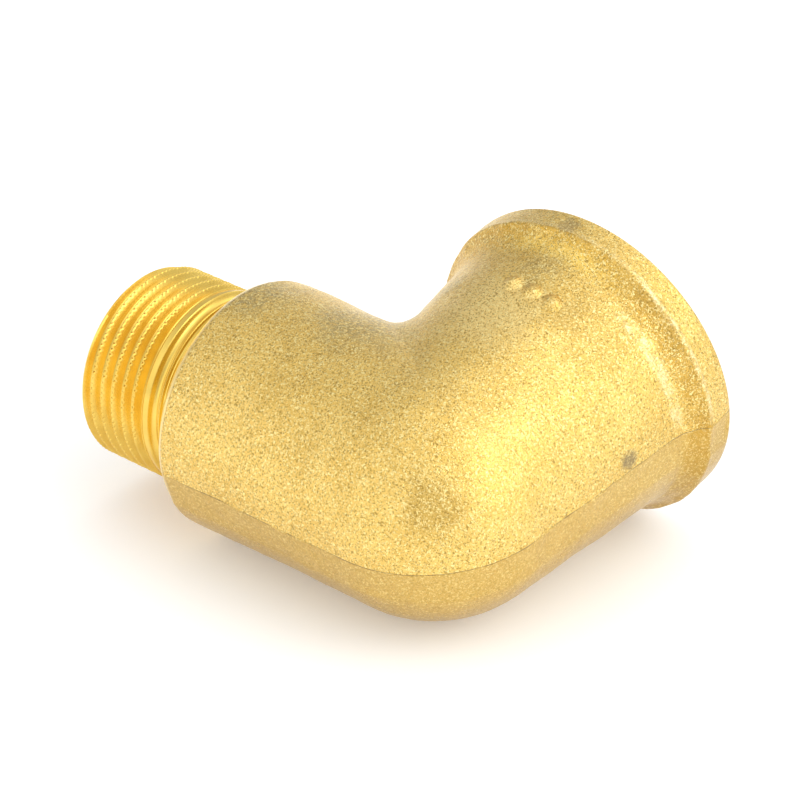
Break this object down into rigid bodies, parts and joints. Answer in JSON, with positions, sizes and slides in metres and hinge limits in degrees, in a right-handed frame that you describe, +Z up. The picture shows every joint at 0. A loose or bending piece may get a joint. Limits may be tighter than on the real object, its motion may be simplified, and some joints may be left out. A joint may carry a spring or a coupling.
{
  "type": "threaded pipe elbow",
  "caption": "Hot-forged brass 90 degree pipe elbow with an external pipe thread on one arm and a flared, internally threaded socket on the other.",
  "frame": {"origin": "where the axes of the two arms cross, at the centre of the bend", "axes": "-X along the male arm towards its thread, +Y along the female arm towards its socket, z = 0 the forging's parting plane, +Z up"},
  "size_m": [0.0702, 0.0487, 0.0428],
  "materials": {
    "forged_brass": "blasted matte",
    "machined_brass": "turned, bright"
  },
  "bodies": {
    "root": {"elbow_bend": "forged_brass", "male_barrel": "forged_brass", "male_thread": "machined_brass", "female_barrel": "forged_brass", "female_collar": "forged_brass", "female_thread": "machined_brass", "size_relief": "forged_brass"}
  },
  "joints": []
}
